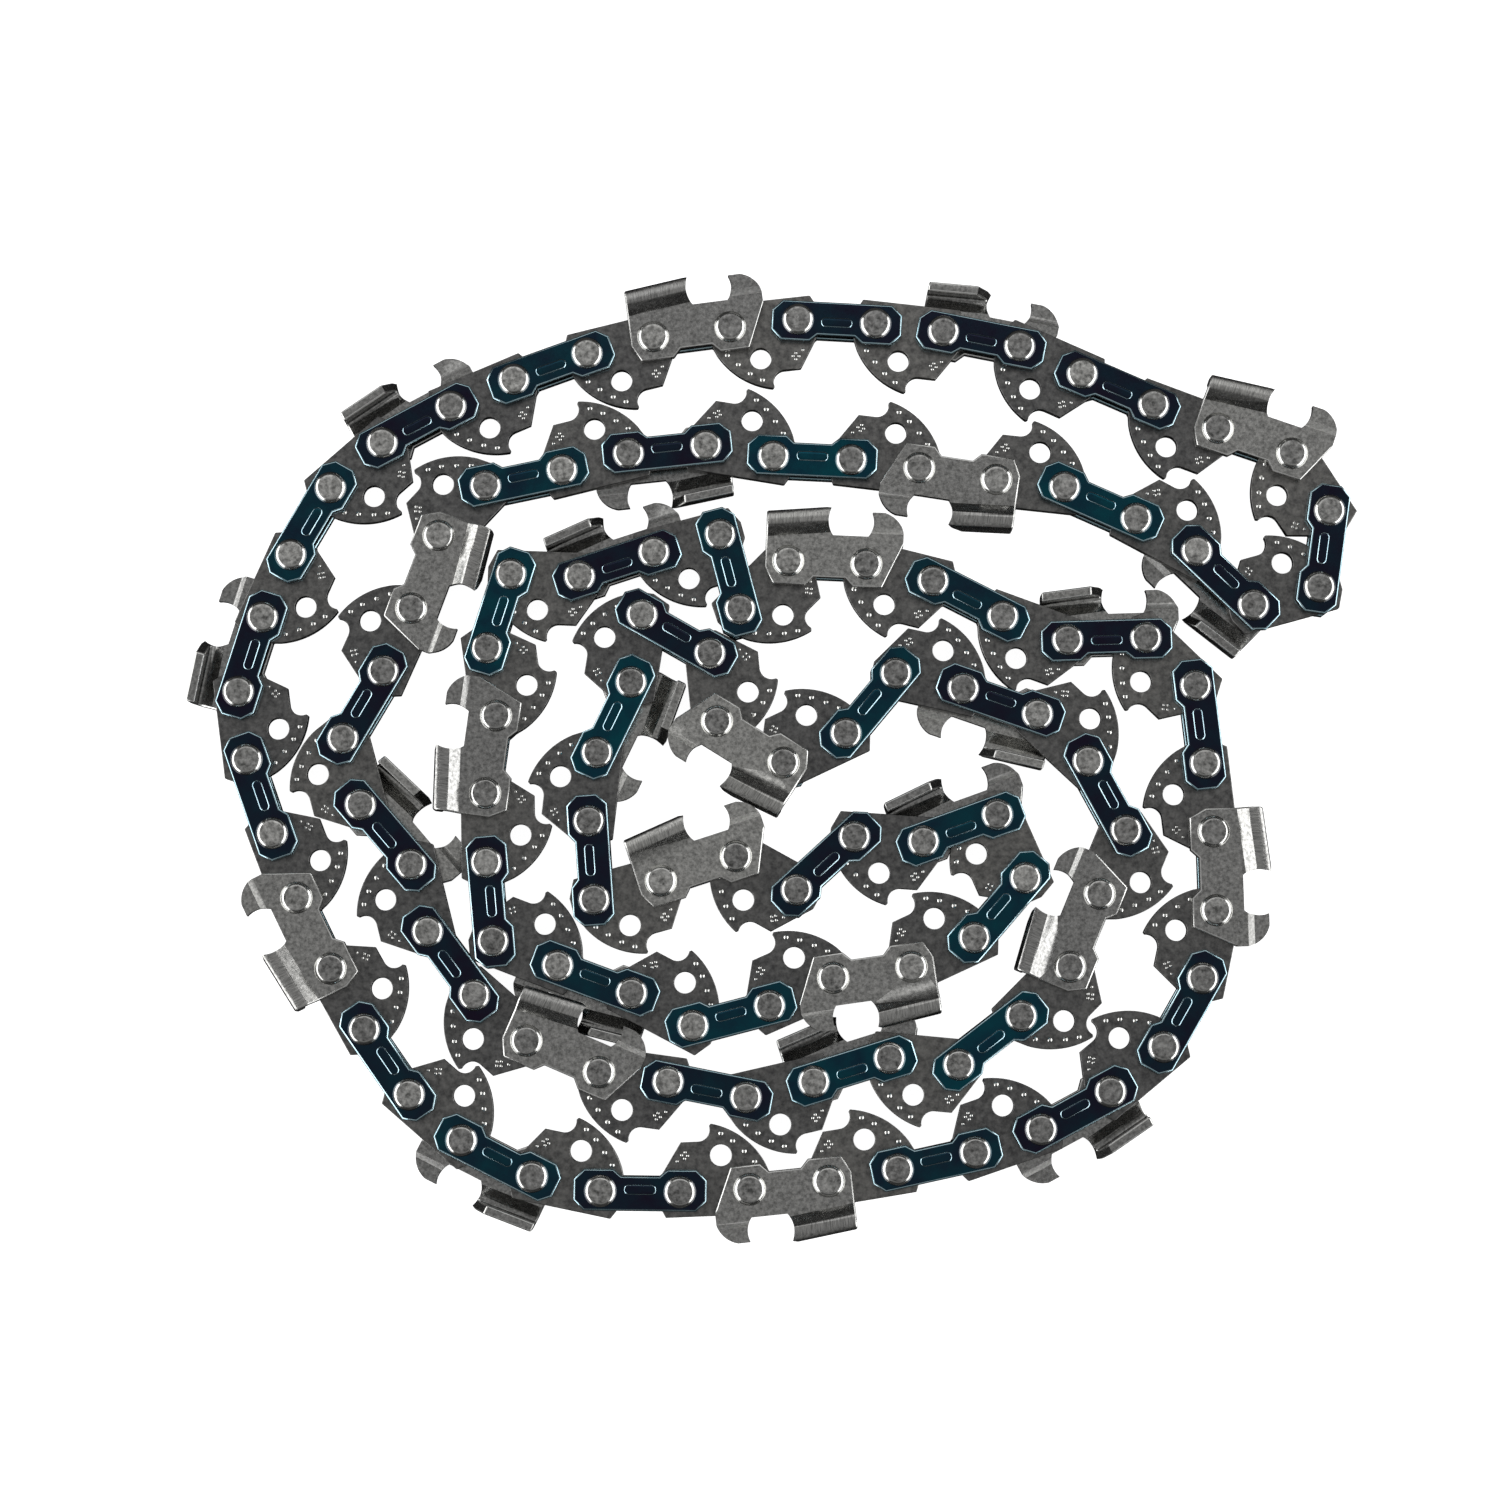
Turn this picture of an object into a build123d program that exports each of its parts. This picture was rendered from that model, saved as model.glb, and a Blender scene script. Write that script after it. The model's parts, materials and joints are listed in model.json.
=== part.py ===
from build123d import *
import cmath
import math
import os

# A chainsaw chain loop that lies on its side in a loose coil, in millimetres.
# In a link's own frame X runs forward along the chain, Y points out to the cutter
# tops, and Z points across the chain, upwards as the loop lies.

# Spacing of the rivets
SIDE_SPACING = 9.92
DRIVE_SPACING = 8.72

# Thicknesses and clearances across the chain
GAUGE = 1.27
PLATE_THICKNESS = 1.2
SIDE_CLEARANCE = 0.05
RIVET_CLEARANCE = 0.03

# Rivets
RIVET_RADIUS = 1.65
RIVET_HEAD_RADIUS = 2.05
RIVET_CROWN_RADIUS = 1.35
RIVET_HEAD_HEIGHT = 0.6

# Drive links
DRIVE_END = 3.0
DRIVE_END_FLAT = 2.0
DRIVE_TOP = 3.2
DRIVE_CORNER = 1.1
TANG_DEPTH = 8.3
TANG_TIP = 4.6
TANG_ROOT = 2.0
TANG_ROOT_DEPTH = 3.3
TANG_BACK_RADIUS = 10.0
SHELF_DEPTH = 6.1
SHELF_SETBACK = 0.3
NOTCH_RADIUS = 1.5
NOTCH_REACH = 1.65
TANG_HOLE_RADIUS = 1.36
TANG_HOLE_X = 3.45
TANG_HOLE_DEPTH = 4.3

# Tie straps
STRAP_END = 3.35
STRAP_TOP = 2.45
STRAP_FOOT = 2.75
STRAP_CORNER = 1.3
STRAP_WAIST = 1.9
FOOT_REACH = 1.6
WAIST_SLOPE = 1.0

# Cutters: base plate
HEEL = 2.95
HEEL_CUT_X = 1.1
HEEL_CUT_Y = 2.1
CUTTER_FOOT = 3.0
CUTTER_WAIST = 1.95
REAR_FOOT_REACH = 2.3
TOE = 2.1
NOSE = 4.6
NOSE_HEIGHT = 2.4

# Cutters: tooth, gullet and depth gauge
TOOTH_TOP = 6.3
RELIEF_ANGLE = 6.0
FLARE = 1.25
FLARE_START = 3.0
FLARE_HEIGHT = 1.25
BEND_INNER_RADIUS = 0.3
TOP_PLATE_REACH = 0.55
TOP_PLATE_ANGLE = 30.0
GULLET_X = 7.8
GULLET_Y = 5.35
GULLET_RADIUS = 2.9
GULLET_FLOOR = 3.5
RAKER_TOP = 6.5
RAKER_FLAT = 2.1
RAKER_NOSE_HEIGHT = 4.0
RAKER_NOSE_RADIUS = 3.5
RAKER_FLARE = 0.7
RAKER_FLARE_START = 3.9
RAKER_FLARE_HEIGHT = 0.7

# How the coil lies, chosen by hand from the photo: the middle of each side link, X and Y,
# and its heading in degrees
LAY = [
    (-7.5, 53, 9), (10, 55.5, 358), (28.5, 53.5, 351), (45.5, 46.5, 335), (62.5, 38.5, 325),
    (71, 25, 252), (57.5, 20.5, 144), (42.5, 32.5, 140), (26, 35.5, 161), (7.5, 38, 178),
    (-11, 40, 183), (-29, 34.5, 197), (-43, 23.5, 244), (-51, 6.5, 256), (-48.5, -11.5, 294),
    (-39, -27, 307), (-25, -39, 339), (-7, -41.5, 0), (11.5, -41.5, 18), (28.5, -34.5, 21),
    (43, -23.5, 62), (45, -6, 106), (33.5, 7, 162), (15.5, 6.5, 197), (-2, 2.5, 170),
    (-13, 15, 145), (-22, 5.5, 266), (-21, -13, 267), (-8, -17.5, 19), (9, -11.5, 47),
    (26, -7.5, 4), (29, -17.5, 197), (14.5, -28, 210), (-3, -32.5, 195), (-20.5, -29, 162),
    (-34, -18.5, 105), (-36.5, -1, 98), (-33.5, 17, 62), (-18.5, 25.5, 14), (-4.5, 22.5, 277),
    (6.5, 24, 356), (25, 21.5, 353), (41.5, 15, 315), (54.5, 1.5, 306), (59, -16, 271),
    (54.5, -33.5, 242), (39.5, -43, 200), (21.5, -49.5, 200), (3.5, -54, 185), (-15, -54, 175),
    (-33, -50.5, 155), (-47.5, -38.5, 126), (-57, -22.5, 118), (-62.5, -4.5, 102), (-63.5, 13.5, 83),
    (-55.5, 30, 66), (-43.5, 43, 20), (-25.5, 48.5, 25),
]

# How the lay settles
SETTLE_ROUNDS = 250
SPACING_ROUNDS = 5
FINAL_ROUNDS = 400
PIECE_GAP = 0.4
PUSH_SHARE = 0.25
LARGE_DISC = 0.72

# Worked out from the sizes above
RIVET_HOLE_RADIUS = RIVET_RADIUS + RIVET_CLEARANCE
PLATE_INNER = GAUGE / 2 + SIDE_CLEARANCE
PLATE_OUTER = PLATE_INNER + PLATE_THICKNESS
CUTTER_REACH = PLATE_OUTER + FLARE
MID_HEIGHT = CUTTER_REACH
TOOL_LENGTH = 4 * SIDE_SPACING


def drive_link():
    """Flat link that runs in the bar's groove, with its hooked tang below the rivets."""
    front = DRIVE_SPACING
    tip = (TANG_TIP, -TANG_DEPTH)
    root = (-TANG_ROOT, -TANG_ROOT_DEPTH)
    notch_x = TANG_TIP + NOTCH_REACH
    with BuildPart() as link:
        with BuildSketch():
            with BuildLine():
                Polyline(
                    root,
                    (-DRIVE_END, -DRIVE_END_FLAT / 2),
                    (-DRIVE_END, DRIVE_END_FLAT / 2),
                    (-DRIVE_END + DRIVE_CORNER, DRIVE_TOP),
                    (front + DRIVE_END - DRIVE_CORNER, DRIVE_TOP),
                    (front + DRIVE_END, DRIVE_END_FLAT / 2),
                    (front + DRIVE_END, -DRIVE_END_FLAT / 2),
                    (front - SHELF_SETBACK, -SHELF_DEPTH),
                    (notch_x, -SHELF_DEPTH),
                    tip,
                )
                RadiusArc(tip, root, TANG_BACK_RADIUS)
            make_face()
            with Locations((notch_x, -SHELF_DEPTH - NOTCH_RADIUS)):
                Circle(NOTCH_RADIUS, mode=Mode.SUBTRACT)
            with Locations((TANG_HOLE_X, -TANG_HOLE_DEPTH)):
                Circle(TANG_HOLE_RADIUS, mode=Mode.SUBTRACT)
            with Locations((0, 0), (front, 0)):
                Circle(RIVET_HOLE_RADIUS, mode=Mode.SUBTRACT)
        extrude(amount=GAUGE / 2, both=True)
    return link.part


def tie_strap():
    """Upper tie strap: a flat plate with cut corners and a waist on the tang side."""
    front = SIDE_SPACING
    with BuildPart() as strap:
        with BuildSketch(Plane.XY.offset(PLATE_INNER)):
            with BuildLine():
                Polyline(
                    (-STRAP_END, STRAP_TOP - STRAP_CORNER),
                    (-STRAP_END + STRAP_CORNER, STRAP_TOP),
                    (front + STRAP_END - STRAP_CORNER, STRAP_TOP),
                    (front + STRAP_END, STRAP_TOP - STRAP_CORNER),
                    (front + STRAP_END, STRAP_CORNER - STRAP_FOOT),
                    (front + STRAP_END - STRAP_CORNER, -STRAP_FOOT),
                    (front - FOOT_REACH, -STRAP_FOOT),
                    (front - FOOT_REACH - WAIST_SLOPE, -STRAP_WAIST),
                    (FOOT_REACH + WAIST_SLOPE, -STRAP_WAIST),
                    (FOOT_REACH, -STRAP_FOOT),
                    (-STRAP_END + STRAP_CORNER, -STRAP_FOOT),
                    (-STRAP_END, STRAP_CORNER - STRAP_FOOT),
                    close=True,
                )
            make_face()
            with Locations((0, 0), (front, 0)):
                Circle(RIVET_HOLE_RADIUS, mode=Mode.SUBTRACT)
        extrude(amount=PLATE_THICKNESS)
    return strap.part


def cutter_outline():
    """Side view of a cutter, taller than the tooth, which the sheet's bend then ends."""
    front = SIDE_SPACING
    above = 2 * TOOTH_TOP
    nose = (front + NOSE, RAKER_NOSE_HEIGHT)
    raker_front = (front + RAKER_FLAT, RAKER_TOP)
    with BuildSketch() as side:
        with BuildLine():
            Polyline(
                nose,
                (front + NOSE, NOSE_HEIGHT),
                (front + TOE, -CUTTER_FOOT),
                (front - FOOT_REACH, -CUTTER_FOOT),
                (front - FOOT_REACH - WAIST_SLOPE, -CUTTER_WAIST),
                (REAR_FOOT_REACH + WAIST_SLOPE, -CUTTER_WAIST),
                (REAR_FOOT_REACH, -CUTTER_FOOT),
                (-HEEL + HEEL_CUT_X, -CUTTER_FOOT),
                (-HEEL, HEEL_CUT_Y - CUTTER_FOOT),
                (-HEEL, above),
                (GULLET_X, above),
                (GULLET_X, RAKER_TOP),
                raker_front,
            )
            RadiusArc(raker_front, nose, RAKER_NOSE_RADIUS)
        make_face()
        with BuildSketch(mode=Mode.SUBTRACT):
            with Locations((GULLET_X, GULLET_Y)):
                Circle(GULLET_RADIUS)
            with Locations((GULLET_X, GULLET_FLOOR + above)):
                Rectangle(TOOL_LENGTH, 2 * above, mode=Mode.INTERSECT)
        with Locations((0, 0), (front, 0)):
            Circle(RIVET_HOLE_RADIUS, mode=Mode.SUBTRACT)
    return side.sketch


def tooth_blank():
    """Sheet bent out past the rivet heads and then over the chain, at the relief angle."""
    lean = math.radians(RELIEF_ANGLE)
    across = Plane(
        origin=(0, 0, 0),
        x_dir=(-math.sin(lean), math.cos(lean), 0),
        z_dir=(math.cos(lean), math.sin(lean), 0),
    )
    rise = HEEL * math.sin(lean)
    top = TOOTH_TOP * math.cos(lean) + rise
    flare_start = FLARE_START * math.cos(lean) + rise
    flare_end = flare_start + FLARE_HEIGHT
    bend = BEND_INNER_RADIUS + PLATE_THICKNESS
    below = -2 * CUTTER_FOOT
    centre = (top - bend, CUTTER_REACH - bend)
    with BuildSketch(across) as section:
        with BuildLine():
            Polyline(
                (top, CUTTER_REACH - bend),
                (top, -TOP_PLATE_REACH),
                (top - PLATE_THICKNESS, -TOP_PLATE_REACH),
                (top - PLATE_THICKNESS, CUTTER_REACH - bend),
            )
            CenterArc(centre, BEND_INNER_RADIUS, 0, 90)
            Polyline(
                (top - bend, CUTTER_REACH - PLATE_THICKNESS),
                (flare_end, PLATE_INNER + FLARE),
                (flare_start, PLATE_INNER),
                (below, PLATE_INNER),
                (below, PLATE_OUTER),
                (flare_start, PLATE_OUTER),
                (flare_end, CUTTER_REACH),
                (top - bend, CUTTER_REACH),
            )
            CenterArc(centre, bend, 0, 90)
        make_face()
    return extrude(section.sketch, amount=GULLET_X, both=True)


def raker_blank():
    """Sheet of the depth gauge, set out a little less than the tooth."""
    flare_end = RAKER_FLARE_START + RAKER_FLARE_HEIGHT
    below = -2 * CUTTER_FOOT
    with BuildSketch(Plane.YZ.offset(GULLET_X - WAIST_SLOPE)) as section:
        with BuildLine():
            Polyline(
                (below, PLATE_OUTER),
                (RAKER_FLARE_START, PLATE_OUTER),
                (flare_end, PLATE_OUTER + RAKER_FLARE),
                (RAKER_TOP, PLATE_OUTER + RAKER_FLARE),
                (RAKER_TOP, PLATE_INNER + RAKER_FLARE),
                (flare_end, PLATE_INNER + RAKER_FLARE),
                (RAKER_FLARE_START, PLATE_INNER),
                (below, PLATE_INNER),
                close=True,
            )
        make_face()
    return extrude(section.sketch, amount=TOOL_LENGTH)


def right_cutter():
    """Cutter of the upper side: base plate, tooth with a slanted edge, and depth gauge."""
    edge_x = cutting_corner()
    slant = math.tan(math.radians(TOP_PLATE_ANGLE))
    far_x = edge_x - slant * (CUTTER_REACH + TOP_PLATE_REACH)
    with BuildSketch(Plane.XZ.offset(-GULLET_Y)) as slant_sketch:
        with BuildLine():
            Polyline(
                (edge_x, CUTTER_REACH),
                (far_x, -TOP_PLATE_REACH),
                (GULLET_X, -TOP_PLATE_REACH),
                (GULLET_X, CUTTER_REACH),
                close=True,
            )
        make_face()
    edge_cut = extrude(slant_sketch.sketch, amount=-TOOTH_TOP)
    side = extrude(cutter_outline(), amount=2 * CUTTER_REACH, both=True)
    return side & (tooth_blank() + raker_blank()) - edge_cut


def rivet():
    """Pin with a coned head spun on each end."""
    end = PLATE_OUTER + RIVET_HEAD_HEIGHT
    with BuildPart() as pin:
        with BuildSketch(Plane.XZ):
            with BuildLine():
                Polyline(
                    (0, -end),
                    (RIVET_CROWN_RADIUS, -end),
                    (RIVET_HEAD_RADIUS, -PLATE_OUTER),
                    (RIVET_RADIUS, -PLATE_OUTER),
                    (RIVET_RADIUS, PLATE_OUTER),
                    (RIVET_HEAD_RADIUS, PLATE_OUTER),
                    (RIVET_CROWN_RADIUS, end),
                    (0, end),
                    close=True,
                )
            make_face()
        revolve(axis=Axis.Z)
    return pin.part


def hand_of(number, sides):
    """Whether a side link holds a right or a left cutter, or none."""
    if number % 2:
        return None
    section = number // 2
    # The odd cutter count leaves two left-hand cutters in a row where the loop closes
    return "right" if section % 2 == 0 and section < sides // 2 - 1 else "left"


def drive_discs():
    """Discs that cover a drive link's plan outline: X, Y and radius."""
    root = complex(-TANG_ROOT, -TANG_ROOT_DEPTH)
    chord = complex(TANG_TIP, -TANG_DEPTH) - root
    bulge = TANG_BACK_RADIUS - math.sqrt(TANG_BACK_RADIUS**2 - abs(chord) ** 2 / 4)
    outward = -1j * chord / abs(chord)
    discs = [
        (0, 0, DRIVE_TOP),
        (DRIVE_SPACING / 2, 0, DRIVE_TOP),
        (DRIVE_SPACING, 0, DRIVE_TOP),
        (DRIVE_SPACING / 4, DRIVE_TOP - 1.2, 1.2),
        (DRIVE_SPACING * 3 / 4, DRIVE_TOP - 1.2, 1.2),
        (DRIVE_CORNER - DRIVE_END + 0.5, DRIVE_TOP - 0.7, 0.6),
        (DRIVE_SPACING + DRIVE_END - DRIVE_CORNER - 0.5, DRIVE_TOP - 0.7, 0.6),
        (TANG_TIP - 3.35, -TANG_ROOT_DEPTH, 2.7),
        (TANG_HOLE_X, -TANG_HOLE_DEPTH, TANG_DEPTH - TANG_HOLE_DEPTH - 1.0),
        (DRIVE_SPACING - 1.75, -SHELF_DEPTH / 2, SHELF_DEPTH / 2 - 0.15),
        (DRIVE_SPACING - SHELF_SETBACK - 1.2, 1.1 - SHELF_DEPTH, 1.1),
        (TANG_TIP - 1.3, 1.2 - TANG_DEPTH, 1.1),
        (DRIVE_SPACING - SHELF_SETBACK - 0.25, 0.2 - SHELF_DEPTH, 0.2),
        (TANG_TIP - 0.1, 0.2 - TANG_DEPTH, 0.15),
        (0.6 - TANG_ROOT, 0.3 - TANG_ROOT_DEPTH, 0.55),
        (DRIVE_SPACING + 0.8, -SHELF_DEPTH / 2 - 0.3, 0.6),
    ]
    for tenth in range(1, 10):
        share = tenth / 10
        spot = root + chord * share + outward * (4 * bulge * share * (1 - share) - 0.7)
        discs.append((spot.real, spot.imag, 0.7))
    return discs


def strap_discs():
    """Discs that cover a tie strap's plan outline."""
    end = 0.5 - STRAP_END
    half = [
        (end, STRAP_TOP - STRAP_CORNER - 0.3, 0.5),
        (end, STRAP_CORNER - STRAP_FOOT + 0.3, 0.5),
        (STRAP_CORNER - STRAP_END + 0.3, STRAP_TOP - 0.5, 0.5),
        (STRAP_CORNER - STRAP_END + 0.3, 0.5 - STRAP_FOOT, 0.5),
        (0, (STRAP_TOP - STRAP_FOOT) / 2, STRAP_FOOT + 0.1),
        (SIDE_SPACING / 3, 0.2, STRAP_TOP - 0.2),
    ]
    return half + [(SIDE_SPACING - x, y, radius) for x, y, radius in half]


def tooth_line(x):
    """Height of the tooth's top at a place along the cutter."""
    return TOOTH_TOP + (x + HEEL) * math.tan(math.radians(RELIEF_ANGLE))


def cutting_corner():
    """How far forward the tooth reaches, where its top meets the gullet's arc."""
    rise = tooth_line(GULLET_X - GULLET_RADIUS) - GULLET_Y
    return GULLET_X - math.sqrt(max(GULLET_RADIUS**2 - rise**2, 0))


def top_plate_discs():
    """Discs that cover a cutter's top plate, which reaches across the drive links' layer."""
    radius = PLATE_THICKNESS / 2 + 0.15
    first, last = -HEEL + radius, cutting_corner() - radius
    discs = [(first + (last - first) * k / 6, radius) for k in range(7)]
    corner = radius / 3
    discs += [(corner - HEEL, corner), (cutting_corner() - corner, corner)]
    return [(x, tooth_line(x) - size, size) for x, size in discs]


def cutter_discs():
    """Discs that cover a cutter's base plate, tooth and depth gauge."""
    front = SIDE_SPACING
    edge = GULLET_X - GULLET_RADIUS
    return top_plate_discs() + [
        (0, 0, CUTTER_FOOT),
        (front / 2, 0.6, 2.75),
        (front, 0.3, CUTTER_FOOT + 0.3),
        (front + 2.6, 2.3, 1.95),
        (0.5 - HEEL, FLARE_START, 0.5),
        (1.6 - HEEL, tooth_line(0) - 2, 1.6),
        (edge / 3, tooth_line(0) - 2, 1.8),
        (edge - 1.5, tooth_line(0) - 2, 1.6),
        (front + RAKER_FLAT - 0.3, RAKER_TOP - 1.6, 1.6),
        (front + RAKER_FLAT - 1.1, RAKER_TOP - 0.6, 0.6),
        (front + NOSE - 1.1, RAKER_NOSE_HEIGHT - 0.3, 1.1),
        (front + NOSE - 0.5, NOSE_HEIGHT + 0.4, 0.5),
        (front + TOE - 0.8, 0.8 - CUTTER_FOOT, 0.8),
    ]


def plan_discs(count):
    """Discs of every piece: layer, rear and front rivet, place in the link's frame, radius."""
    discs = []
    for number in range(count // 2):
        rear, front, after = 2 * number, 2 * number + 1, (2 * number + 2) % count
        hand = hand_of(number, count // 2)
        groups = [("middle", front, after, drive_discs())]
        if hand:
            groups.append(("middle", rear, front, top_plate_discs()))
        for side in ("right", "left"):
            groups.append((side, rear, front, cutter_discs() if hand == side else strap_discs()))
        for layer, first, second, group in groups:
            discs += [(layer, first, second, complex(x, y), radius) for x, y, radius in group]
    return discs


def disc_centre(places, disc):
    """Where a disc of a link is now."""
    rear, front = places[disc[1]], places[disc[2]]
    return rear + disc[3] * (front - rear) / abs(front - rear)


def space(places, spacings, rounds):
    """Moves neighbouring rivets together or apart until each link has its own spacing."""
    count = len(places)
    for _ in range(rounds):
        for i in range(count):
            ahead = (i + 1) % count
            gap = places[ahead] - places[i]
            shift = gap * (1 - spacings[i] / abs(gap)) / 2
            places[i] += shift
            places[ahead] -= shift


def settle(lay):
    """Rivet centres, as complex numbers, with exact spacings and every piece clear of the rest."""
    places = []
    for x, y, heading in lay:
        half = cmath.rect(SIDE_SPACING / 2, math.radians(heading))
        places += [complex(x, y) - half, complex(x, y) + half]
    count = len(places)
    spacings = [SIDE_SPACING, DRIVE_SPACING] * len(lay)
    laid = [abs(places[(i + 1) % count] - places[i]) for i in range(count)]
    # A longer chain spreads the coil at once, and a shorter one is drawn in turn by turn
    spread = max(1, sum(spacings) / sum(laid))
    places = [place * spread for place in places]
    laid = [gap * spread for gap in laid]
    discs = plan_discs(count)
    centres = [disc_centre(places, disc) for disc in discs]
    pairs = []
    for i, one in enumerate(discs):
        for j, other in enumerate(discs[:i]):
            apart = one[0] == other[0] and one[1] != other[1]
            if apart and abs(centres[i] - centres[j]) < one[4] + other[4] + 2 * SIDE_SPACING:
                pairs.append((i, j, one[4] + other[4] + PIECE_GAP))
    # The larger discs sort the pieces out first, and the small ones then clear the corners
    large = [pair for pair in pairs if min(discs[pair[0]][4], discs[pair[1]][4]) > LARGE_DISC]
    for turn in range(SETTLE_ROUNDS):
        drawn = min(1, 2 * turn / SETTLE_ROUNDS)
        current = [first + (last - first) * drawn for first, last in zip(laid, spacings)]
        centres = [disc_centre(places, disc) for disc in discs]
        for i, j, clear in large if turn < SETTLE_ROUNDS / 2 else pairs:
            gap = centres[i] - centres[j]
            if abs(gap) < clear:
                push = gap * (clear / abs(gap) - 1) * PUSH_SHARE
                for rivet_number in discs[i][1:3]:
                    places[rivet_number] += push
                for rivet_number in discs[j][1:3]:
                    places[rivet_number] -= push
        space(places, current, SPACING_ROUNDS)
    space(places, spacings, FINAL_ROUNDS)
    return places


def located(shape, rear, front):
    """A link's shape with its first rivet at rear and its second at front."""
    heading = math.degrees(cmath.phase(front - rear))
    return shape.moved(Location((rear.real, rear.imag, MID_HEIGHT), (0, 0, heading)))


def build(places):
    """Every piece of the loop, as lists of solids by node name."""
    strap, cutter, link = tie_strap(), right_cutter(), drive_link()
    lower_strap, left_cutter = mirror(strap, Plane.XY), mirror(cutter, Plane.XY)
    pin = rivet()
    nodes = {"tie_straps": [], "rivets": []}
    made = {"right": 0, "left": 0}
    sides = len(places) // 2
    for number in range(sides):
        rear, front = places[2 * number], places[2 * number + 1]
        after = places[(2 * number + 2) % len(places)]
        section = number // 2
        drive_node = f"drive_links_{section + 1:02d}"
        nodes.setdefault(drive_node, []).append(located(link, front, after))
        nodes["rivets"] += [located(pin, rear, front), located(pin, front, after)]
        hand = hand_of(number, sides)
        upper = cutter if hand == "right" else strap
        lower = left_cutter if hand == "left" else lower_strap
        for plate, plain in ((upper, strap), (lower, lower_strap)):
            piece = located(plate, rear, front)
            if plate is plain:
                nodes["tie_straps"].append(piece)
            else:
                made[hand] += 1
                nodes[f"{hand}_cutter_{made[hand]:02d}"] = [piece]
    return nodes


def centred(places):
    """The same places with the middle of the loop's plan box at the origin."""
    solids = [solid for group in build(places).values() for solid in group]
    middle = Compound(solids).bounding_box().center()
    return [place - complex(middle.X, middle.Y) for place in places]


os.makedirs("parts", exist_ok=True)
for name, group in build(centred(settle(LAY))).items():
    piece = Compound(group) if len(group) > 1 else group[0]
    piece.label = name
    export_step(piece, f"parts/{name}.step")
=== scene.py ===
import json
import math

import bmesh
import bpy
import numpy as np
from mathutils import Matrix, Vector

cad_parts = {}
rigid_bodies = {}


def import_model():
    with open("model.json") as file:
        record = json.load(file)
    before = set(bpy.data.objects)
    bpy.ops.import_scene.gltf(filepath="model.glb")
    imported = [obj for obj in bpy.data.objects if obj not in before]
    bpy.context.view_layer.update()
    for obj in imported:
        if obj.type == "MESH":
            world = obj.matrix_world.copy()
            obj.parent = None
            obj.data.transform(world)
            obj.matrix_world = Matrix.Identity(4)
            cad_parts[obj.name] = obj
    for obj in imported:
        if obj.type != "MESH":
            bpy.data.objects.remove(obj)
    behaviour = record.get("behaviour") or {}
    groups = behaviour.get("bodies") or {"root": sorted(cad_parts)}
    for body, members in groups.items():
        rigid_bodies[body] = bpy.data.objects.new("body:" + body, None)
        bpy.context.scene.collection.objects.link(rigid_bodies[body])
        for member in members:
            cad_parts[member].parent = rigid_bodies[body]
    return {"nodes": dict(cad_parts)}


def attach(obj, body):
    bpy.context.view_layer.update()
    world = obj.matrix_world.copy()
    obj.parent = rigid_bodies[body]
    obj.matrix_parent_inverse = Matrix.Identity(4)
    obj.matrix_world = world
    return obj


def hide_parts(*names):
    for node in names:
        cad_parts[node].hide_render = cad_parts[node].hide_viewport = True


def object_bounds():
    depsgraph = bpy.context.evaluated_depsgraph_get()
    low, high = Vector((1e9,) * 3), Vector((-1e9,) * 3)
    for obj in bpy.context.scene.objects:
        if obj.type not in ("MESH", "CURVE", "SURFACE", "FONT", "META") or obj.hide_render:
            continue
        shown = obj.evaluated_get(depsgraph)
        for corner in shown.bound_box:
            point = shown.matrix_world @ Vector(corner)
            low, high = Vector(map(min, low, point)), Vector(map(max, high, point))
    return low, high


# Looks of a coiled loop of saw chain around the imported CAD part, in metres.
MM = 0.001

# Sizes of the CAD part that the looks go by. Heights count from the chain's middle plane, and
# places on a link count from its rear rivet: X forward, Y out to the cutters' tops, Z up.
PLATE_TOP = 1.885 * MM
LINK_TOP = 0.635 * MM
BEND = 1.5 * MM
LEAN = math.radians(6)
GULLET = Vector((7.8, 5.35)) * MM
GULLET_RADIUS = 2.9 * MM
NOSE = 3.6 * MM

# Seams that are closed and faces that are joined in a copy of a CAD mesh
WELD_REACH = 0.001 * MM
FLAT_TURN = math.radians(1)

# Rounded edges: how far their faces turn, in degrees, and what is left as it is
LEAST_TURN = 60
MOST_TURN = 130
ROUND_STEPS = 2
CUTTER_ROUND = 0.2 * MM
DRIVE_ROUND = 0.1 * MM
STRAP_ROUND = 0.22 * MM
HEAD_COVER = 1.9 * MM
GULLET_MARGIN = 0.1 * MM

# Edges that stay sharp in the shading, in degrees
SHARP = 40
CUTTER_SHARP = 30

# Steady tints: the factors of a sine hash and a salt for each kind of piece
HASH_NUMBER, HASH_SALT, HASH_SPREAD = 12.9898, 78.233, 43758.5453
CUTTER_SALT, DRIVE_SALT, STRAP_SALT, RIVET_SALT = 1, 2, 3, 4

# Empty the start-up scene
for leftover in list(bpy.data.objects):
    bpy.data.objects.remove(leftover)

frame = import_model()
nodes = frame["nodes"]
cad_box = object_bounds()


def chance(number, salt):
    """A steady value from 0 to 1 for a numbered piece."""
    wave = math.sin(number * HASH_NUMBER + salt * HASH_SALT)
    return math.modf(abs(wave) * HASH_SPREAD)[0]


def welded(node):
    """A copy of a CAD node's mesh with its seams closed and its flat faces whole."""
    made = bmesh.new()
    made.from_mesh(nodes[node].data)
    bmesh.ops.remove_doubles(made, verts=made.verts, dist=WELD_REACH)
    bmesh.ops.dissolve_limit(made, angle_limit=FLAT_TURN, verts=made.verts, edges=made.edges)
    return made


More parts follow.
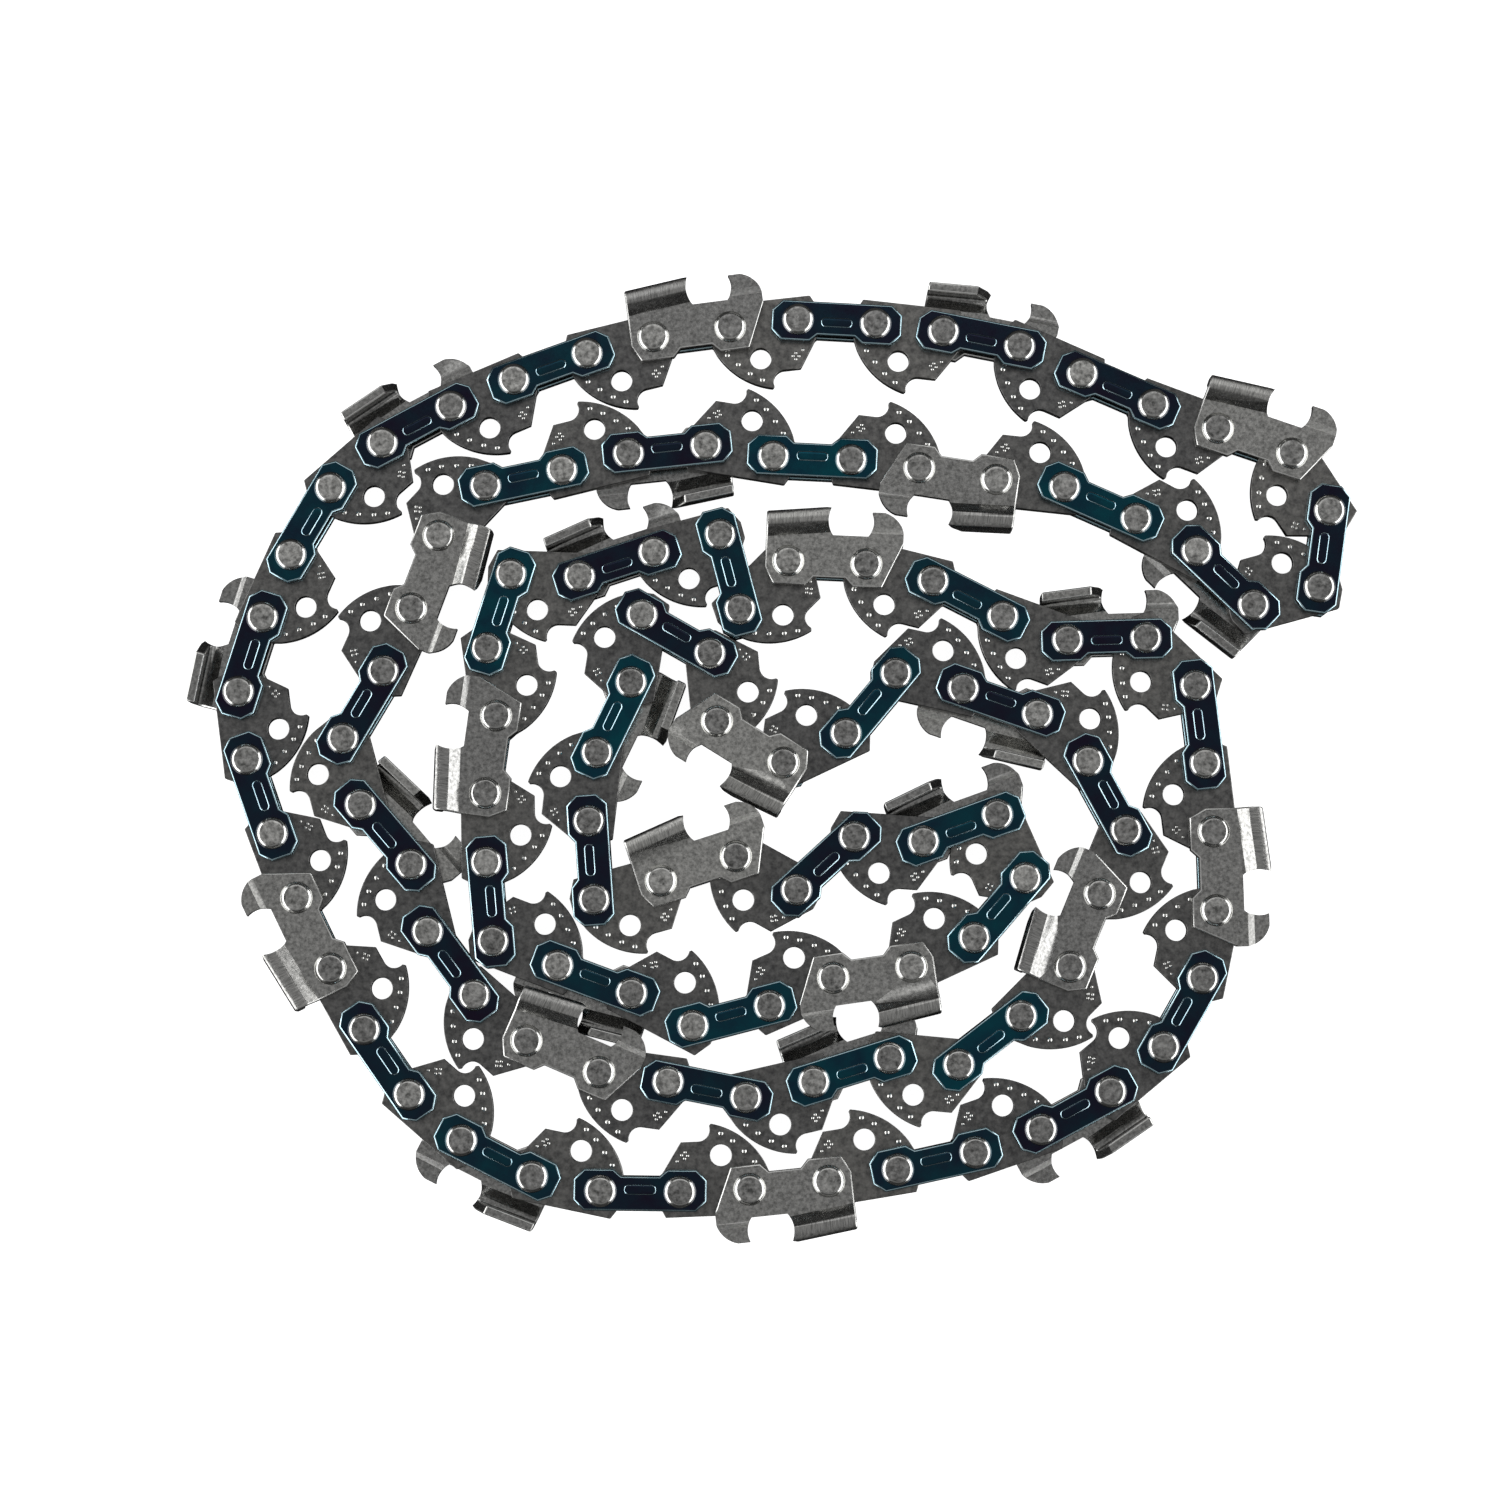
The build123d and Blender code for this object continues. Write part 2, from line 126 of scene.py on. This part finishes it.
def islands(made):
    """The separate solids of a mesh, as lists of vertices in the order of their first ones."""
    made.verts.ensure_lookup_table()
    seen = set()
    found = []
    for start in made.verts:
        if start in seen:
            continue
        seen.add(start)
        group = [start]
        for vert in group:
            for edge in vert.link_edges:
                other = edge.other_vert(vert)
                if other not in seen:
                    seen.add(other)
                    group.append(other)
        found.append(group)
    return found


# The chain's rivets in running order, and the middles of its side links and drive links
rivet_mesh = welded("rivets")
rivets = []
for group in islands(rivet_mesh):
    places = np.array([vert.co for vert in group])
    rivets.append(Vector((places.min(0) + places.max(0)) / 2))
rivet_mesh.free()
side_count = len(rivets) // 2
side_middles = []
drive_middles = []
for i in range(side_count):
    rear, front, following = (rivets[(2 * i + k) % len(rivets)] for k in range(3))
    side_middles.append((rear + front) / 2)
    drive_middles.append((front + following) / 2)


def link_frame(first):
    """Matrix of the link whose rear rivet has this number: X forward, Y out, Z up."""
    rear, front = rivets[first], rivets[(first + 1) % len(rivets)]
    along = (front - rear).normalized()
    out = Vector((-along.y, along.x, 0))
    turn = Matrix((along, out, Vector((0, 0, 1)))).transposed().to_4x4()
    return Matrix.Translation(rear) @ turn


def under_head(place):
    """Whether a place lies under a rivet's head, where nothing shows."""
    return any(math.hypot(place.x - r.x, place.y - r.y) < HEAD_COVER for r in rivets)


def rounded(made, width, material=None, spared=under_head):
    """Rounds the edges of a mesh, apart from those with an end at a spared place."""
    picked = []
    for edge in made.edges:
        if len(edge.link_faces) == 2:
            turn = math.degrees(edge.calc_face_angle(0))
            if LEAST_TURN < turn < MOST_TURN and not any(spared(vert.co) for vert in edge.verts):
                picked.append(edge)
    made_faces = bmesh.ops.bevel(
        made,
        geom=picked,
        offset=width,
        offset_type="OFFSET",
        segments=ROUND_STEPS,
        profile=0.5,
        affect="EDGES",
        clamp_overlap=False,
    )["faces"]
    if material is not None:
        for face in made_faces:
            face.material_index = material


def tinted(made, middles, salt):
    """Gives each solid of a mesh the steady tint of the link or rivet that it is nearest to."""
    layer = made.verts.layers.float.new("tint")
    for group in islands(made):
        centre = sum((vert.co for vert in group), Vector()) / len(group)
        nearest = min(range(len(middles)), key=lambda i: (middles[i] - centre).xy.length)
        for vert in group:
            vert[layer] = chance(nearest, salt)


def placed(name, made, materials, replaced, sharp=SHARP):
    """Makes a mesh a piece of the object."""
    mesh = bpy.data.meshes.new(name)
    made.to_mesh(mesh)
    made.free()
    for material in materials:
        mesh.materials.append(material)
    mesh.shade_smooth()
    mesh.set_sharp_from_angle(angle=math.radians(sharp))
    piece = bpy.data.objects.new(name, mesh)
    bpy.context.scene.collection.objects.link(piece)
    even = piece.modifiers.new("even", "WEIGHTED_NORMAL")
    even.keep_sharp = True
    even.weight = 90
    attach(piece, "root")
    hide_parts(*replaced)


def lathe(made, profile, centre, count, material_of):
    """Spins radius and height pairs, from the lowest up, about an upright axis."""
    rings = []
    for radius, height in profile:
        z = centre.z + height
        if radius == 0:
            rings.append([made.verts.new((centre.x, centre.y, z))])
            continue
        ring = []
        for k in range(count):
            angle = 2 * math.pi * k / count
            x = centre.x + radius * math.cos(angle)
            y = centre.y + radius * math.sin(angle)
            ring.append(made.verts.new((x, y, z)))
        rings.append(ring)
    for row, (a, b) in enumerate(zip(rings, rings[1:])):
        for k in range(count):
            n = (k + 1) % count
            if len(a) == 1:
                corners = [a[0], b[n], b[k]]
            elif len(b) == 1:
                corners = [a[k], a[n], b[0]]
            else:
                corners = [a[k], a[n], b[n], b[k]]
            face = made.faces.new(corners)
            face.material_index = material_of(row)


# Materials: the spans of a noise or a tint over which a colour or a roughness changes
SPOT_SPAN = (0.32, 0.7)
TINT_SPAN = (0.35, 0.95)
GRAIN_SPAN = (0.3, 0.7)


def node_setup(name):
    """A new material with its tree, its shader and a maker of nodes."""
    material = bpy.data.materials.new(name)
    material.use_nodes = True
    tree = material.node_tree
    shader = tree.nodes["Principled BSDF"]

    def make(kind, **values):
        node = tree.nodes.new(kind)
        for key, value in values.items():
            setattr(node, key, value)
        return node

    return material, tree, shader, make


def ramp_between(make, span, colours):
    """A colour ramp from one colour to another over a span."""
    ramp = make("ShaderNodeValToRGB")
    for stop, position, colour in zip(ramp.color_ramp.elements, span, colours):
        stop.position = position
        stop.color = (*colour, 1)
    return ramp


def metal(name, colours, spot_size, rough, bump, grain_size, tint_colours=None, streak=None):
    """Worn metal: a mottled or streaked colour, a grain in its roughness and a fine bump."""
    material, tree, shader, make = node_setup(name)
    link = tree.links.new
    place = make("ShaderNodeTexCoord")
    spots = make("ShaderNodeTexNoise")
    spots.inputs["Scale"].default_value = 1 / spot_size
    spots.inputs["Detail"].default_value = 5
    spots.inputs["Roughness"].default_value = 0.62
    if streak:
        stretch = make("ShaderNodeMapping")
        stretch.inputs["Scale"].default_value = (1, 1 / streak, 1)
        link(make("ShaderNodeUVMap", uv_map="link").outputs["UV"], stretch.inputs["Vector"])
        link(stretch.outputs["Vector"], spots.inputs["Vector"])
    else:
        link(place.outputs["Object"], spots.inputs["Vector"])
    ramp = ramp_between(make, SPOT_SPAN, colours)
    link(spots.outputs["Fac"], ramp.inputs["Fac"])
    colour = ramp.outputs["Color"]
    if tint_colours:
        tint = make("ShaderNodeAttribute", attribute_name="tint")
        steps = ramp_between(make, TINT_SPAN, tint_colours)
        link(tint.outputs["Fac"], steps.inputs["Fac"])
        mix = make("ShaderNodeMix", data_type="RGBA", blend_type="MULTIPLY")
        mix.inputs["Factor"].default_value = 1
        link(colour, mix.inputs["A"])
        link(steps.outputs["Color"], mix.inputs["B"])
        colour = mix.outputs["Result"]
    link(colour, shader.inputs["Base Color"])
    grain = make("ShaderNodeTexNoise")
    grain.inputs["Scale"].default_value = 1 / grain_size
    grain.inputs["Detail"].default_value = 3
    link(place.outputs["Object"], grain.inputs["Vector"])
    span = make("ShaderNodeMapRange")
    span.inputs["From Min"].default_value, span.inputs["From Max"].default_value = GRAIN_SPAN
    span.inputs["To Min"].default_value, span.inputs["To Max"].default_value = rough
    link(grain.outputs["Fac"], span.inputs["Value"])
    link(span.outputs["Result"], shader.inputs["Roughness"])
    dents = make("ShaderNodeBump")
    dents.inputs["Strength"].default_value = 1
    dents.inputs["Distance"].default_value = bump
    link(grain.outputs["Fac"], dents.inputs["Height"])
    link(dents.outputs["Normal"], shader.inputs["Normal"])
    shader.inputs["Metallic"].default_value = 1
    return material


cutter_metal = metal(
    "cutter satin steel",
    colours=((0.23, 0.23, 0.225), (0.67, 0.665, 0.65)),
    tint_colours=((0.82, 0.82, 0.82), (1.15, 1.15, 1.13)),
    spot_size=0.4 * MM,
    rough=(0.2, 0.29),
    bump=0.004 * MM,
    grain_size=0.22 * MM,
)
band_metal = metal(
    "cutter brushed band",
    colours=((0.22, 0.22, 0.215), (0.68, 0.675, 0.66)),
    tint_colours=((0.9, 0.9, 0.9), (1.1, 1.1, 1.08)),
    spot_size=0.16 * MM,
    rough=(0.22, 0.32),
    bump=0.003 * MM,
    grain_size=0.2 * MM,
    streak=9,
)
# Depth gauge slope: a lighter, rougher steel, whose lightness is painted light for the light that
# the slope catches
nose_slope_painted_lighter_metal = metal(
    "depth gauge slope painted lighter",
    colours=((0.4, 0.4, 0.39), (0.8, 0.795, 0.78)),
    tint_colours=((0.9, 0.9, 0.9), (1.1, 1.1, 1.08)),
    spot_size=0.3 * MM,
    rough=(0.5, 0.6),
    bump=0.003 * MM,
    grain_size=0.2 * MM,
)
# Rounded cutter edges: a lighter steel, partly the real ground steel and partly painted highlight
# along the edges
cutter_edge_ground_and_highlight = metal(
    "cutter ground edge and painted highlight",
    colours=((0.66, 0.66, 0.64), (0.85, 0.85, 0.83)),
    spot_size=0.8 * MM,
    rough=(0.25, 0.35),
    bump=0.002 * MM,
    grain_size=0.25 * MM,
)
drive_metal = metal(
    "drive link steel",
    colours=((0.12, 0.12, 0.12), (0.31, 0.307, 0.298)),
    tint_colours=((0.85, 0.85, 0.86), (1.1, 1.09, 1.07)),
    spot_size=0.7 * MM,
    rough=(0.26, 0.38),
    bump=0.003 * MM,
    grain_size=0.2 * MM,
)
# Marks on the drive links: a light steel, partly their own colour and partly painted glints for
# the light they catch
mark_metal_and_glint = metal(
    "punched marks with painted glint",
    colours=((0.6, 0.6, 0.58), (0.85, 0.85, 0.82)),
    spot_size=0.3 * MM,
    rough=(0.2, 0.3),
    bump=0.002 * MM,
    grain_size=0.2 * MM,
)
blue_metal = metal(
    "heat-blued steel",
    colours=((0.018, 0.03, 0.06), (0.012, 0.07, 0.1)),
    tint_colours=((1.3, 0.55, 0.6), (0.7, 1.5, 1.35)),
    spot_size=5 * MM,
    rough=(0.2, 0.3),
    bump=0.0015 * MM,
    grain_size=0.3 * MM,
)
# Strap edges: a light cyan that is painted highlight, for the bright lines along the rounded
# edges
blue_edge_painted_highlight = metal(
    "blued steel edge painted highlight",
    colours=((0.4, 0.62, 0.7), (0.62, 0.8, 0.86)),
    spot_size=1.5 * MM,
    rough=(0.2, 0.3),
    bump=0.002 * MM,
    grain_size=0.3 * MM,
)
flank_metal = metal(
    "rivet flank steel",
    colours=((0.6, 0.6, 0.58), (0.75, 0.75, 0.73)),
    spot_size=0.8 * MM,
    rough=(0.16, 0.26),
    bump=0.002 * MM,
    grain_size=0.25 * MM,
)
crown_metal = metal(
    "rivet crown steel",
    colours=((0.15, 0.15, 0.147), (0.75, 0.745, 0.73)),
    tint_colours=((0.75, 0.75, 0.75), (1.2, 1.2, 1.18)),
    spot_size=0.6 * MM,
    rough=(0.22, 0.42),
    bump=0.012 * MM,
    grain_size=0.45 * MM,
)


# Places of the metals in a piece's list
BODY, EDGE, BAND, SLOPE_PAINTED_LIGHTER = 0, 1, 2, 3
MARK = 1
FLANK, CROWN = 0, 1

# Cutters: a tighter bend, rounded edges in a lighter steel that is partly real ground steel and
# partly painted highlight, a brushed band, and a slope on the depth gauge whose lighter steel is
# painted light.
# The bend goes from round at 0 to square at 1, and a face is level or steep by its normal's Z.
TIGHTER = 0.35
CUTTER_METALS = [cutter_metal, cutter_edge_ground_and_highlight, band_metal, nose_slope_painted_lighter_metal]
LEVEL = 0.95
STEEP = 0.3
BAND_RISE = 1.0 * MM
SLOPE_FOOT = 3 * MM


def link_of(made):
    """Number of the side link that a cutter's mesh belongs to."""
    centre = sum((vert.co for vert in made.verts), Vector()) / len(made.verts)
    return min(range(side_count), key=lambda i: (side_middles[i] - centre).xy.length)


def cutter_spared(flat):
    """A test for the places of a cutter whose edges aren't rounded."""

    def spared(place):
        """Whether a place is on the gullet, on the depth gauge's nose or under a rivet's head."""
        spot = (flat @ place).xy
        gullet = (spot - GULLET).length < GULLET_RADIUS + GULLET_MARGIN
        nose = spot.x > GULLET.x and spot.y > NOSE
        return gullet or nose or under_head(place)

    return spared


def tightened(made, turn, flat):
    """Tightens the bend between a tooth's band and its top plate, inside the same outline."""
    rise = turn @ Vector((-math.sin(LEAN), math.cos(LEAN), 0)) - turn.translation
    tooth = []
    for vert in made.verts:
        place = flat @ vert.co
        if place.x < GULLET.x:
            tooth.append((vert, place.y * math.cos(LEAN) - place.x * math.sin(LEAN), place.z))
    top = max(high for _, high, _ in tooth) - BEND
    reach = max(abs(z) for _, _, z in tooth) - BEND
    for vert, high, z in tooth:
        up, out = high - top, abs(z) - reach
        if up > 0 and out > 0:
            grow = TIGHTER * (math.hypot(up, out) / max(up, out) - 1)
            vert.co += rise * up * grow + Vector((0, 0, math.copysign(out * grow, z)))


def finished_faces(made, flat):
    """Gives the tooth's band its metal and the nose's slope its steel painted lighter as painted
    light, and all faces link places.
    """
    layer = made.loops.layers.uv.new("link")
    for face in made.faces:
        centre = flat @ face.calc_center_median()
        facing = abs(face.normal.z)
        if facing > LEVEL and abs(centre.z) > PLATE_TOP + BAND_RISE:
            face.material_index = BAND
        # The depth gauge's slope takes the steel that is painted lighter as painted light
        elif STEEP < facing < LEVEL and centre.x > GULLET.x and centre.y > SLOPE_FOOT:
            face.material_index = SLOPE_PAINTED_LIGHTER
        for loop in face.loops:
            loop[layer].uv = (flat @ loop.vert.co).xy


for node in sorted(nodes):
    if "cutter" in node:
        made = welded(node)
        turn = link_frame(2 * link_of(made))
        flat = turn.inverted()
        tinted(made, side_middles, CUTTER_SALT)
        tightened(made, turn, flat)
        # The rounded edges take the lighter steel, which is partly painted highlight
        rounded(made, CUTTER_ROUND, EDGE, cutter_spared(flat))
        finished_faces(made, flat)
        placed("look_" + node, made, CUTTER_METALS, [node], CUTTER_SHARP)

# Drive links: rounded edges and plain round marks on the upper face, in millimetres; the marks'
# light steel is partly their own colour and partly painted glint
MARKS = [(-0.75, -3.35), (0.5, -4.7), (1.9, -6.05), (3.35, -7.05)]
CLUSTER = [(7.6, -4.4), (8.0, -4.05), (8.35, -4.5), (7.9, -4.85), (8.95, -3.75)]
CLUSTER_SCALE = 0.6
DOME = [(0.32, -0.02), (0.3, 0), (0.17, 0.11), (0.08, 0.14), (0, 0.145)]
DOME_SIDES = 12
dots = [(*dot, 1) for dot in MARKS] + [(*dot, CLUSTER_SCALE) for dot in CLUSTER]
for section in range(side_count // 2):
    node = f"drive_links_{section + 1:02d}"
    made = welded(node)
    tinted(made, drive_middles, DRIVE_SALT)
    rounded(made, DRIVE_ROUND)
    for side in (2 * section, 2 * section + 1):
        turn = link_frame(2 * side + 1)
        for x, y, size in dots:
            centre = turn @ Vector((x * MM, y * MM, LINK_TOP))
            dome = [(r * size * MM, h * size * MM) for r, h in DOME]
            lathe(made, dome, centre, DOME_SIDES, lambda row: MARK)
    placed("look_" + node, made, [drive_metal, mark_metal_and_glint], [node])

# Tie straps: rounded edges and an embossed slot between the rivets, in millimetres
SLOT_LENGTH = 4.1
SLOT_WIDTH = 1.3
SLOT_MIDDLE = (4.96, -0.2)
SLOT_RINGS = ((0, -0.03), (0.03, 0.03), (0.12, 0.1), (0.25, 0.14), (0.42, 0.15))
SLOT_SIDES = 20
SLOT_RIM_ROWS = 2


def emboss(made, turn, tint):
    """A raised slot with rounded rims on the upper face of a strap; the rims take the light cyan
    edge colour, a painted highlight.
    """
    layer = made.verts.layers.float["tint"]
    reach = SLOT_LENGTH / 2 - SLOT_WIDTH / 2
    rings = []
    for inset, height in SLOT_RINGS:
        half = SLOT_WIDTH / 2 - inset
        ring = []
        for k in range(SLOT_SIDES):
            angle = 2 * math.pi * (k + 0.5) / SLOT_SIDES
            x = SLOT_MIDDLE[0] + (math.copysign(reach, math.cos(angle)) + half * math.cos(angle))
            y = SLOT_MIDDLE[1] + half * math.sin(angle)
            vert = made.verts.new(turn @ Vector((x * MM, y * MM, PLATE_TOP + height * MM)))
            vert[layer] = tint
            ring.append(vert)
        rings.append(ring)
    for row, (a, b) in enumerate(zip(rings, rings[1:])):
        for k in range(SLOT_SIDES):
            n = (k + 1) % SLOT_SIDES
            face = made.faces.new([a[k], a[n], b[n], b[k]])
            # The rim rows take the light cyan of painted highlight
            face.material_index = EDGE if row < SLOT_RIM_ROWS else BODY
    made.faces.new(rings[-1])


made = welded("tie_straps")
tinted(made, side_middles, STRAP_SALT)
# The rounded edges take the light cyan of painted highlight
rounded(made, STRAP_ROUND, EDGE)
for side in range(side_count):
    # A right-hand cutter takes the place of the upper strap, in every other section but the last
    section = side // 2
    right = side % 2 == 0 and section % 2 == 0 and section < side_count // 2 - 1
    if not right:
        emboss(made, link_frame(2 * side), chance(side, STRAP_SALT))
placed("look_tie_straps", made, [blue_metal, blue_edge_painted_highlight], ["tie_straps"])

# Rivets: a plain shank with a spun head on each end, turned in one. The head's form is in
# millimetres from the plate's face up. The crown starts one point before its rim, and the lower
# head has no dimple in it.
HEAD = [
    (1.65, -0.02), (2.03, -0.02), (2.05, 0.03), (1.98, 0.16), (1.84, 0.34), (1.68, 0.48),
    (1.52, 0.565), (1.36, 0.598), (1.15, 0.595), (0.8, 0.575), (0.4, 0.59), (0, 0.595),
]
CROWN_RIM = 7
CROWN_START = CROWN_RIM - 1
RIVET_SIDES = 36
upper = [(r * MM, PLATE_TOP + h * MM) for r, h in HEAD]
lower = [(r, -h) for r, h in reversed(upper[: CROWN_RIM + 1] + upper[-1:])]


def rivet_metal(row):
    """Place of the metal of a row of the turned form."""
    lower_crown = row < len(lower) - 1 - CROWN_START
    upper_crown = row >= len(lower) + CROWN_START
    return CROWN if lower_crown or upper_crown else FLANK


made = bmesh.new()
for centre in rivets:
    lathe(made, lower + upper, centre, RIVET_SIDES, rivet_metal)
tinted(made, rivets, RIVET_SALT)
placed("look_rivets", made, [flank_metal, crown_metal], ["rivets"])

# Floor: white for the camera, and dim in the metal's reflections
FLOOR_GLOW = 0.95
FLOOR_WHITE = (0.9, 0.9, 0.9, 1)
FLOOR_REFLECTED = (0.06, 0.06, 0.06, 1)
FLOOR_REACH = 3.0
FLOOR_LEVEL = -0.2 * MM
floor_material, tree, shader, make = node_setup("white floor")
path = make("ShaderNodeLightPath")
glow = make("ShaderNodeMath", operation="MULTIPLY")
glow.inputs[1].default_value = FLOOR_GLOW
tree.links.new(path.outputs["Is Camera Ray"], glow.inputs[0])
tree.links.new(glow.outputs["Value"], shader.inputs["Emission Strength"])
shader.inputs["Emission Color"].default_value = (1, 1, 1, 1)
shade = make("ShaderNodeMix", data_type="RGBA")
shade.inputs["A"].default_value = FLOOR_WHITE
shade.inputs["B"].default_value = FLOOR_REFLECTED
tree.links.new(path.outputs["Is Glossy Ray"], shade.inputs["Factor"])
tree.links.new(shade.outputs["Result"], shader.inputs["Base Color"])
shader.inputs["Roughness"].default_value = 0.9
shader.inputs["Specular IOR Level"].default_value = 0
floor_mesh = bpy.data.meshes.new("floor")
floor_corners = [
    (-FLOOR_REACH, -FLOOR_REACH, 0),
    (FLOOR_REACH, -FLOOR_REACH, 0),
    (FLOOR_REACH, FLOOR_REACH, 0),
    (-FLOOR_REACH, FLOOR_REACH, 0),
]
floor_mesh.from_pydata(floor_corners, [], [(0, 1, 2, 3)])
floor_mesh.materials.append(floor_material)
floor = bpy.data.objects.new("floor", floor_mesh)
bpy.context.scene.collection.objects.link(floor)
floor.location.z = FLOOR_LEVEL

# Lights: a long low strip on either side and a faint panel behind
STRIP_SIZE = (0.9, 0.32)
STRIP_POWER = 2.5
STRIP_AWAY = 0.45
STRIP_AIM = (0, -0.1, 0.17)
PANEL_SIZE = (0.8, 0.35)
PANEL_POWER = 0.5
PANEL_PLACE = (0, 0.45, 0.6)


def area_light(name, place, aim, size, power):
    """A rectangular studio light that the camera doesn't see."""
    data = bpy.data.lights.new(name, "AREA")
    data.shape = "RECTANGLE"
    data.size, data.size_y = size
    data.energy = power
    lamp = bpy.data.objects.new(name, data)
    bpy.context.scene.collection.objects.link(lamp)
    lamp.location = place
    lamp.rotation_euler = (Vector(aim) - Vector(place)).to_track_quat("-Z", "Y").to_euler()
    lamp.visible_camera = False


area_light("west strip", (-STRIP_AWAY, *STRIP_AIM[1:]), STRIP_AIM, STRIP_SIZE, STRIP_POWER)
area_light("east strip", (STRIP_AWAY, *STRIP_AIM[1:]), STRIP_AIM, STRIP_SIZE, STRIP_POWER)
area_light("north panel", PANEL_PLACE, (0, 0, 0), PANEL_SIZE, PANEL_POWER)

# World: a room that is dim below and brighter overhead, and white for the camera
ROOM_HEIGHTS = (0.35, 0.95)
ROOM_STRENGTHS = (0.03, 0.32)
world = bpy.data.worlds.new("studio")
bpy.context.scene.world = world
world.use_nodes = True
tree = world.node_tree
back = tree.nodes["Background"]
room = tree.nodes.new("ShaderNodeTexCoord")
parts = tree.nodes.new("ShaderNodeSeparateXYZ")
tree.links.new(room.outputs["Generated"], parts.inputs["Vector"])
dim = tree.nodes.new("ShaderNodeMapRange")
dim.inputs["From Min"].default_value, dim.inputs["From Max"].default_value = ROOM_HEIGHTS
dim.inputs["To Min"].default_value, dim.inputs["To Max"].default_value = ROOM_STRENGTHS
tree.links.new(parts.outputs["Z"], dim.inputs["Value"])
seen = tree.nodes.new("ShaderNodeLightPath")
mix = tree.nodes.new("ShaderNodeMix")
mix.data_type = "FLOAT"
tree.links.new(seen.outputs["Is Camera Ray"], mix.inputs["Factor"])
tree.links.new(dim.outputs["Result"], mix.inputs["A"])
mix.inputs["B"].default_value = 1.0
tree.links.new(mix.outputs["Result"], back.inputs["Strength"])
back.inputs["Color"].default_value = (1, 1, 1, 1)

# Camera, nearly straight above and a little towards the lower side of the picture
CAMERA_TILT = math.radians(5.5)
CAMERA_DISTANCE = 0.43
CAMERA_LENS = 81.4
CAMERA_SENSOR = 36
CAMERA_SHIFT = Vector((-2.9, 0.5, 0)) * MM
camera_data = bpy.data.cameras.new("camera")
camera_data.sensor_width = CAMERA_SENSOR
camera_data.lens = CAMERA_LENS
camera_data.clip_start = 0.01
camera = bpy.data.objects.new("camera", camera_data)
bpy.context.scene.collection.objects.link(camera)
camera.rotation_euler = (CAMERA_TILT, 0, 0)
middle = (Vector(cad_box[0]) + Vector(cad_box[1])) / 2
backwards = Vector((0, -math.sin(CAMERA_TILT), math.cos(CAMERA_TILT)))
camera.location = middle + CAMERA_SHIFT + CAMERA_DISTANCE * backwards
bpy.context.scene.camera = camera
bpy.context.scene.view_settings.view_transform = "Standard"

bpy.context.view_layer.update()
